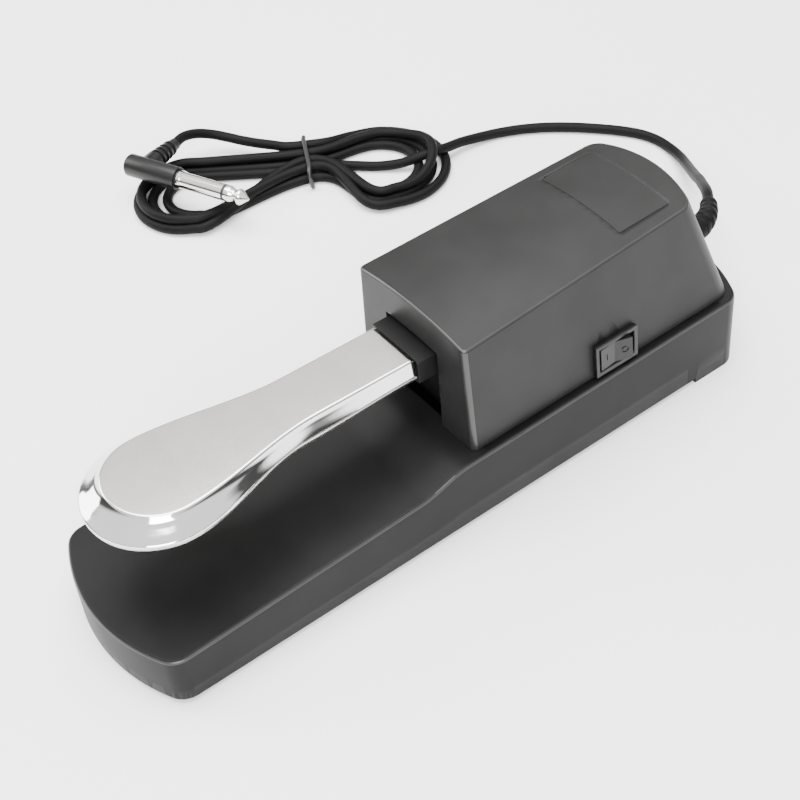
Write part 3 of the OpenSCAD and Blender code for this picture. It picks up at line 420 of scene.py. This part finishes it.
def cross(d, z, towards):
    """A straight stretch through the tie."""
    return [on_hank(-WAIST_HALF * towards, d, z), on_hank(WAIST_HALF * towards, d, z)]


def incoming():
    """The strand from the pedal: over the right end's low laps, under its raised one and into the tie."""
    over = CORD_D + LOW
    return [on_hank(50.5, -6.6, over), on_hank(44, -8, over - 0.4), on_hank(36, -7.4, 3.2),
            on_hank(27, -5.4, LOW), on_hank(17, -2.4, LOW)]


def cord_route():
    """The cord from the tip of its strain relief to the plug's boot, with its laps worked out one by one."""
    route = [Vector(p) for p in CORD_POINTS] + incoming() + cross(0, LOW, -1)
    # Each lap's radius, layer and shift along the hank, at the left end and at the right one
    left = [(12.4, LOW, 3.0), (16.4, LOW, 1.4), (20.4, LOW, 0), (18.2, HIGH, -0.6)]
    right = [(15.6, LOW, -2.0), (19.7, LOW, -1.0), (18.6, HIGH, 0.6), (23.8, LOW, 0.2)]
    # The third lap is raised over the strand from the pedal.
    humps = [0, 0, CORD_D, 0]
    # Each lap's place in the tie, on its way to the right and on its way back
    out_slots = [(-COLUMN, LOW), (-2 * COLUMN, LOW), (-COLUMN / 2, HIGH), (-1.5 * COLUMN, HIGH)]
    back_slots = [(0, LOW), (COLUMN, LOW), (2 * COLUMN, LOW), (1.5 * COLUMN, HIGH), (2.5 * COLUMN, HIGH)]
    laps = len(left)
    for k in range(laps):
        out_z, back_z, next_z = out_slots[k][1], back_slots[k][1], back_slots[k + 1][1]
        radius, z, shift = left[k]
        route += lobe(LEFT_S + shift, LEFT_D, radius, z, -1, back_z, out_z, 1.04)
        route += cross(*out_slots[k], 1)
        radius, z, shift = right[k]
        route += lobe(RIGHT_S + shift, RIGHT_D, radius, z, 1, out_z, next_z, 1.05, humps[k])
        if k < laps - 1:
            route += cross(*back_slots[k + 1], -1)
    route.append(on_hank(9, 10.4, HIGH + 0.3))
    return route + [Vector(p) for p in reversed(END_POINTS)]


def length_of(points):
    return sum((b - a).length for a, b in zip(points, points[1:]))


def make_cord():
    route = cord_route()
    fine = through(route, 6)
    data = bpy.data.curves.new("cord_run", "CURVE")
    data.dimensions = "3D"
    data.bevel_depth = CORD_R * MM
    data.bevel_resolution = 6
    data.resolution_u = 1
    data.use_fill_caps = True
    spline = data.splines.new("POLY")
    spline.points.add(len(fine) - 1)
    for point, p in zip(spline.points, fine):
        point.co = (*(p * MM), 1)
    obj = bpy.data.objects.new("cord_run", data)
    bpy.context.scene.collection.objects.link(obj)
    data.materials.append(MATERIALS["cord_sheath"])
    return obj, fine


cord, cord_line = make_cord()
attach(cord, "frame")
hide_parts("cord", "cord_hank", "cord_end")


# Length of the relief's plain foot, and of that part of it which doesn't taper
RELIEF_FOOT_L = 11.2
RELIEF_STRAIGHT_L = 6
# Distance from one ring to the next, the share of it that the ring takes, and that of each rounded edge
RING_PITCH = 3.5
RING_SHARE = 0.66
RING_EDGE = 0.12
GROOVE_D = 1.15


def make_relief():
    """Strain relief: a round foot in the wall, then rings with gaps between them, thinner to the cord."""
    line = through(RELIEF_POINTS, 14)
    total = length_of(line)
    taper = RELIEF_TIP_R + 0.25 - RELIEF_FOOT_R
    radii = []
    at = 0.0
    for a, b in zip(line, line[1:]):
        body = RELIEF_FOOT_R + taper * smooth((at - RELIEF_STRAIGHT_L) / (total - RELIEF_STRAIGHT_L))
        groove = 0.0
        if at > RELIEF_FOOT_L:
            turn = ((at - RELIEF_FOOT_L) / RING_PITCH) % 1
            groove = 1 - smooth(min(turn, RING_SHARE - turn) / RING_EDGE)
        radii.append(body - GROOVE_D * groove * (body - 1.2) / RELIEF_FOOT_R)
        at += (b - a).length
    radii.append(CORD_R + 0.15)
    return tube("strain_relief_rings", line, radii, 36)


relief = make_relief()
paint(relief, MATERIALS["cord_sheath"])
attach(relief, "frame")
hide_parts("strain_relief")


# The tie's wire, its loop's half width, height and corners, and how far left of the hank's middle it sits
TIE_WIRE_R = 0.85
TIE_HALF = 12.9
TIE_H = 8.6
TIE_CORNER_R = 3.2
TIE_MIDDLE = 1.2


def make_tie():
    """Thin covered wire that goes once round the laps, flat against the floor."""
    side, top = TIE_HALF - TIE_CORNER_R, TIE_H - TIE_CORNER_R
    foot = TIE_CORNER_R
    outline = []
    for cx, cz, start in [(side, top, 0), (-side, top, 90), (-side, foot, 180), (side, foot, 270)]:
        for i in range(9):
            a = math.radians(start + 90 * i / 8)
            outline.append((cx + TIE_CORNER_R * math.cos(a), cz + TIE_CORNER_R * math.sin(a)))
    path = []
    for i, (x, z) in enumerate(outline):
        path.append(on_hank(0.4 * math.sin(i * 0.35), TIE_MIDDLE + x, max(TIE_WIRE_R, z)))
    dense = []
    for a, b in zip(path, path[1:] + path[:1]):
        steps = max(1, int((b - a).length / 1.5))
        dense += [a.lerp(b, i / steps) for i in range(steps)]
    return tube("cord_tie_wire", dense, [TIE_WIRE_R] * len(dense), 14, closed=True)


tie = make_tie()
paint(tie, MATERIALS["tie_plastic"])
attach(tie, "frame")
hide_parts("cord_tie")


# ---------- forms that trim the CAD's coarse outer faces ----------
# How far the forms stay inside the CAD's own faces, and the radius that they give the CAD's sharp edges
TRIM = 0.05
BASE_FILLET = 1.1
HOUSE_FILLET = 0.8


def end_quarter(half, tip, arc_r, corner, inset, arc_steps=20, corner_steps=12):
    """Right half of a curved end, from its tip round the corner to the side, moved in by inset."""
    a = math.asin((half - corner) / (arc_r - corner))
    middle = tip - arc_r
    cx, cy = half - corner, middle + (arc_r - corner) * math.cos(a)
    out = []
    for i in range(arc_steps + 1):
        t = a * i / arc_steps
        out.append(((arc_r - inset) * math.sin(t), middle + (arc_r - inset) * math.cos(t)))
    for i in range(1, corner_steps + 1):
        t = a + (math.pi / 2 - a) * i / corner_steps
        out.append((cx + (corner - inset) * math.sin(t), cy + (corner - inset) * math.cos(t)))
    return out


def deck_z(y):
    return DECK_H + (y + HALF_L) * math.tan(DECK_SLOPE)


def ledge_z(y):
    return LEDGE_H + y * math.tan(LEDGE_SLOPE)


def base_top(y):
    """Height of the base: the deck, then the curved step up to the ledge."""
    t = smooth((y - STEP_END + STEP_L) / STEP_L)
    return deck_z(min(y, STEP_END)) * (1 - t) + ledge_z(y) * t


def lidded(name, rings, rows, sag=None):
    """A closed form from rings of points that run along the right side and back along the left.

    Rows from side to side cover the last ring; their height is sag's, or straight across without it.
    """
    count = len(rings[0])
    points = [p for ring in rings for p in ring]
    faces = loop_faces(count, len(rings))
    faces.append(tuple(range(count)))
    last = (len(rings) - 1) * count
    pairs = [(k, (count - k) % count) for k in range(count // 2 + 1)]
    previous = None
    for a, b in pairs:
        right, left = Vector(points[last + a]), Vector(points[last + b])
        row = [last + a]
        if a != b:
            for i in range(1, rows):
                p = right.lerp(left, i / rows)
                if sag:
                    p.z = sag(p.x, p.y)
                row.append(len(points))
                points.append(p)
            row.append(last + b)
        if previous:
            longer, shorter = (previous, row) if len(previous) >= len(row) else (row, previous)
            if len(shorter) == 1:
                faces += [(longer[i], longer[i + 1], shorter[0]) for i in range(rows)]
            else:
                faces += [(previous[i], previous[i + 1], row[i + 1], row[i]) for i in range(rows)]
        previous = row
    return new_mesh(name, points, faces)


def both_sides(right):
    """A whole ring from its right half, which starts and ends on the middle plane."""
    return right + [(-p[0], *p[1:]) for p in reversed(right[1:-1])]


def base_form():
    """The base, whose side walls lean in by SIDE_DRAFT, and a little more, up to the ledge."""
    draft = 1.02 * SIDE_DRAFT / LEDGE_H / HALF_W

    def right_half(inset):
        quarter = end_quarter(HALF_W, HALF_L, END_R, CORNER_R, inset)
        front = [(x, -y) for x, y in reversed(quarter)]
        y0, y1 = quarter[-1][1], front[0][1]
        side = [(quarter[-1][0], y0 + (y1 - y0) * i / 110) for i in range(1, 110)]
        return quarter + side + front

    def ring(inset, level):
        out = []
        for x, y in right_half(inset):
            z = level(y)
            out.append((x * (1 - max(z, 0) * draft), y, z))
        return both_sides(out)

    rings = [ring(TRIM, lambda y: -1.0)]
    rings += [ring(TRIM, lambda y, t=t: (base_top(y) - BASE_FILLET) * t) for t in (0.0, 0.35, 0.7)]
    for i in range(9):
        a = math.pi / 2 * i / 8
        inset = TRIM + BASE_FILLET * (1 - math.cos(a))
        drop = TRIM + BASE_FILLET * (1 - math.sin(a))
        rings.append(ring(inset, lambda y, drop=drop: base_top(y) - drop))
    return lidded("base_form", rings, 8)


def crown_z(x, y):
    """Height of the housing's arched top."""
    crown_r = ((TOP_W_FRONT / 2) ** 2 + CROWN_H ** 2) / (2 * CROWN_H)
    return TOP_H + y * math.tan(TOP_SLOPE) + CROWN_H - crown_r + math.sqrt(crown_r ** 2 - x * x)


def house_form():
    """The housing, which leans in from its foot to its top."""
    half_foot = HOUSE_W / 2
    top_l = HOUSE_L - REAR_LEAN
    rear_r_foot = END_R - (HALF_L - HOUSE_L)

    def outline(half_front, half_rear, front, rear, arc_r, inset):
        quarter = end_quarter(half_rear, rear, arc_r, HOUSE_CORNER_R, inset)
        edge = max(0.2, FRONT_EDGE_R - inset)
        ex, ey = half_front - inset - edge, front + inset + edge
        x0, y0 = quarter[-1]
        side = [(x0 + (ex + edge - x0) * i / 40, y0 + (ey - y0) * i / 40) for i in range(1, 40)]
        arc = [(ex + edge * math.cos(math.pi / 2 * i / 8), ey - edge * math.sin(math.pi / 2 * i / 8))
               for i in range(9)]
        return quarter + side + arc + [(ex * (1 - i / 10), ey - edge) for i in range(1, 11)]

    def ring(inset, level):
        foot = outline(half_foot, half_foot, 0, HOUSE_L, rear_r_foot, inset)
        edge = outline(TOP_W_FRONT / 2, TOP_W_REAR / 2, -FRONT_LEAN, top_l, REAR_R_TOP, inset)
        out = []
        for (fx, fy), (ex, ey) in zip(foot, edge):
            z0, z1 = ledge_z(fy) + 0.3, TOP_H + ey * math.tan(TOP_SLOPE)
            x, y = ex, ey
            for _ in range(4):
                z = level(x, y)
                t = (z - z0) / (z1 - z0)
                x, y = fx + (ex - fx) * max(t, 0), fy + (ey - fy) * max(t, 0)
            out.append((x, y, z))
        return both_sides(out)

    def wall_z(x, y, t):
        return ledge_z(y) + (crown_z(x, y) - HOUSE_FILLET - ledge_z(y)) * t

    rings = [ring(TRIM, lambda x, y: ledge_z(y) - 8)]
    rings.append(ring(TRIM, lambda x, y: ledge_z(y) + 0.3))
    for t in (0.25, 0.5, 0.75):
        rings.append(ring(TRIM, lambda x, y, t=t: wall_z(x, y, t)))
    for i in range(8):
        a = math.pi / 2 * i / 7
        inset = TRIM + HOUSE_FILLET * (1 - math.cos(a))
        drop = TRIM + HOUSE_FILLET * (1 - math.sin(a))
        rings.append(ring(inset, lambda x, y, drop=drop: crown_z(x, y) - drop))
    return lidded("house_form", rings, 16, lambda x, y: crown_z(x, y) - TRIM)


# How far the rim stands out from the top at the neck, and how much more where the neck ends
RIM_NECK = 1.1
RIM_FLARE = 1.2
# How much further forward the middle of the rim's round toe is
RIM_TOE = 1.4
# How far in front of the housing the neck ends, at the top and at the rim
TOP_WIDENS = 41
RIM_WIDENS = 46
# How much lower the top is at its sides than in its middle, where it is widest
SHOE_CROWN = 0.22


def shoe_half(y, neck, flare, toe, start, end):
    """Half the shoe's width at y: the neck, then a widening to the toe."""
    return (neck + flare * smooth((-SHOE_GAP - y) / (start - SHOE_GAP))
            + (toe - neck - flare) * smooth((-start - y) / (end - start)))


def shoe_form():
    """The shoe: a nearly flat top with a rolled edge, a bevel, a thin groove and a low flange."""
    rear = -SHOE_GAP
    side_steps, arc_steps = 64, 36

    def outline(neck, flare, toe, middle, start, inset):
        half = []
        for i in range(side_steps):
            y = rear - (rear + middle) * i / side_steps
            half.append((shoe_half(y, neck - inset, flare, toe - inset, start, middle), y))
        for i in range(arc_steps + 1):
            a = math.pi / 2 * i / arc_steps
            half.append(((toe - inset) * math.cos(a), -middle - (toe - inset) * math.sin(a)))
        return half

    def sink(x):
        return SHOE_CROWN * (x / TOE_R) ** 2

    def ring(inset, drop, share, fade=0.0):
        """share goes from 0 on the top's outline to 1 on the rim; fade adds to the inset along the neck."""
        top = outline(NECK_HALF, 0, TOE_R, TOE_Y, TOP_WIDENS, inset)
        rim = outline(NECK_HALF + RIM_NECK, RIM_FLARE, TOE_R + BEVEL_W, TOE_Y + RIM_TOE, RIM_WIDENS, inset)
        out = []
        for k, (a, b) in enumerate(zip(top, rim)):
            x, y = a[0] + (b[0] - a[0]) * share, a[1] + (b[1] - a[1]) * share
            x -= fade * (1 - smooth((-y - 60) / 22)) if k < side_steps else 0
            out.append((x, y, SHOE_TOP - drop - (sink(x) if share < 0.2 else 0)))
        return both_sides([(0.0, rear, out[0][2])] + out)

    # The flange, which leans in to its foot
    rings = [ring(0.46, FLANGE_H + 0.5, 1), ring(0.42, FLANGE_H - 0.03, 1), ring(0.30, FLANGE_H - 0.3, 1)]
    rings += [ring(0.25, FLANGE_H - 0.6, 1), ring(0.16, BEVEL_H + 0.62, 1), ring(0.14, BEVEL_H + 0.5, 1, 0.1)]
    # The groove along the neck, under the bevel
    rings += [ring(0.1, BEVEL_H + 0.42, 1, 0.6), ring(0.1, BEVEL_H + 0.02, 0.985, 0.6)]
    # The bevel, rounded at its foot
    rings += [ring(0.12, BEVEL_H - 0.1, 0.97, 0.08), ring(0.1, BEVEL_H - 0.35, 0.93)]
    for t in (0.8, 0.6, 0.4, 0.25, 0.12):
        rings.append(ring(0.07 + 0.1 * t * (1 - t), 0.85 + (BEVEL_H - 0.85) * t, t * 0.97))
    # The top's rolled edge
    rings += [ring(0.10, 0.62, 0.02), ring(0.2, 0.36, 0), ring(0.38, 0.17, 0)]
    rings += [ring(0.65, 0.06, 0), ring(1.0, TRIM, 0)]
    form = lidded("shoe_form", rings, 14, lambda x, y: SHOE_TOP - TRIM - sink(x))
    at = Vector(PIVOT) * MM
    turn = Matrix.Translation(at) @ Matrix.Rotation(-LEVER_RISE, 4, "X") @ Matrix.Translation(-at)
    form.data.transform(turn)
    return form


def trimmed(name, node_name, form, body):
    """A copy of a CAD node with its coarse outer faces cut back to the form's fine ones."""
    mesh = nodes[node_name].data.copy()
    mesh.name = name
    obj = bpy.data.objects.new(name, mesh)
    bpy.context.scene.collection.objects.link(obj)
    bm = bmesh.new()
    bm.from_mesh(mesh)
    bmesh.ops.remove_doubles(bm, verts=bm.verts, dist=1e-6)
    bmesh.ops.recalc_face_normals(bm, faces=bm.faces)
    bm.to_mesh(mesh)
    bm.free()
    cut = obj.modifiers.new("cut", "BOOLEAN")
    cut.operation = "INTERSECT"
    cut.solver = "EXACT"
    cut.object = form
    bpy.context.view_layer.update()
    done = bpy.data.meshes.new_from_object(obj.evaluated_get(bpy.context.evaluated_depsgraph_get()))
    obj.modifiers.clear()
    obj.data = done
    done.shade_smooth()
    done.set_sharp_from_angle(angle=math.radians(32))
    weigh = obj.modifiers.new("weigh", "WEIGHTED_NORMAL")
    weigh.keep_sharp = True
    bpy.data.objects.remove(form)
    paint(obj, MATERIALS[SLOT_OF_NODE[node_name]])
    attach(obj, body)
    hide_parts(node_name)
    return obj


base = trimmed("base_shell", "base_body", base_form(), "frame")
house = trimmed("housing_shell", "housing_cover", house_form(), "frame")
shoe = trimmed("lever_plated_shoe", "lever_shoe", shoe_form(), "lever")


def second_finish(obj, material, chosen):
    """Give the faces whose normal is chosen a second material."""
    obj.data.materials.append(MATERIALS[material])
    for face in obj.data.polygons:
        if chosen(face.normal):
            face.material_index = 1


def is_front_corner(normal):
    return abs(normal.z) < 0.3 and abs(normal.x) > 0.25 and normal.y < -0.25


# The shoe's bevel and rolled edge are polished. The plastic's fillets and the housing's front corners get a
# lighter, glossier material, whose lighter colour is a painted highlight along the edges.
second_finish(shoe, "lever_chrome_polished", lambda n: 0.1 < n.z < 0.96)
second_finish(base, "painted_highlight_edge_plastic", lambda n: 0.22 < n.z < 0.86)
second_finish(house, "painted_highlight_edge_plastic", lambda n: 0.5 < n.z < 0.95 or is_front_corner(n))

# ---------- the CAD nodes that stay ----------
# Width of the small bevel on each node whose edges show
EDGES = {
    "lever_arm": 0.5,
    "polarity_switch_body": 0.35,
    "polarity_rocker": 0.25,
    "front_pad": 0.3,
    "rear_pad": 0.3,
    "bottom_plate": 0.2,
    "plug_body": 0.4,
    "plug_boot": 0.15,
    "cord_clamp": 0.3,
    "pivot_bracket": 0.2,
    "stop_strap": 0.2,
    "contact_switch_body": 0.2,
}
for name, node in nodes.items():
    paint(node, MATERIALS[SLOT_OF_NODE[name]])
    if node.hide_render:
        continue
    weld = node.modifiers.new("weld", "WELD")
    weld.merge_threshold = 1e-6
    if name in EDGES:
        bevel = node.modifiers.new("edges", "BEVEL")
        bevel.width = EDGES[name] * MM
        bevel.segments = 3
        bevel.limit_method = "ANGLE"
        bevel.angle_limit = math.radians(40)


# ---------- stage and light ----------
def floor_material():
    m = Nodes("stage_floor")
    m.tint(m.noise(300, 2), "Fac", grey(0.90), grey(0.92))
    m.shader.inputs["Roughness"].default_value = 0.9
    m.shader.inputs["Specular IOR Level"].default_value = 0.1
    return m.material


FLOOR_HALF = 40000
floor_corners = [(x * FLOOR_HALF, y * FLOOR_HALF, 0) for x, y in [(-1, -1), (1, -1), (1, 1), (-1, 1)]]
floor = new_mesh("stage_floor", floor_corners, [(0, 1, 2, 3)])
paint(floor, floor_material())

world = bpy.data.worlds.new("studio")
world.use_nodes = True
bpy.context.scene.world = world


def light_world(tree):
    """A soft white room, dark low down, so that metal has something dark to mirror."""
    sky = tree.nodes["Background"]
    place = tree.nodes.new("ShaderNodeTexCoord")
    split = tree.nodes.new("ShaderNodeSeparateXYZ")
    ramp = tree.nodes.new("ShaderNodeValToRGB")
    tree.links.new(place.outputs["Generated"], split.inputs["Vector"])
    tree.links.new(split.outputs["Z"], ramp.inputs["Fac"])
    tree.links.new(ramp.outputs["Color"], sky.inputs["Color"])
    # Height above the horizon, and brightness
    stops = [(0.0, 0.30), (0.07, 0.05), (0.30, 0.08), (0.46, 0.95), (1.0, 1.0)]
    while len(ramp.color_ramp.elements) < len(stops):
        ramp.color_ramp.elements.new(0.5)
    for element, (at, level) in zip(ramp.color_ramp.elements, stops):
        element.position = at
        element.color = (level, level * 0.985, level * 0.965, 1)
    sky.inputs["Strength"].default_value = 1.75


light_world(world.node_tree)


def softbox(name, at, target, size, power):
    light = bpy.data.lights.new(name, "AREA")
    light.shape = "RECTANGLE"
    light.size, light.size_y = size
    light.energy = power
    obj = bpy.data.objects.new(name, light)
    bpy.context.scene.collection.objects.link(obj)
    obj.location = at
    obj.rotation_mode = "QUATERNION"
    obj.rotation_quaternion = (Vector(target) - Vector(at)).to_track_quat("-Z", "Y")
    return obj


# Places and sizes of the lights, in metres, and their power in watts
softbox("key", (0.75, -0.55, 0.75), (0, 0, 0.03), (0.6, 0.6), 21)
softbox("top", (-0.15, 0.05, 1.1), (0, 0, 0.03), (0.9, 0.9), 31)
softbox("side", (-0.9, -0.5, 0.5), (0, 0, 0.03), (0.5, 0.7), 10)

bpy.context.view_layer.update()
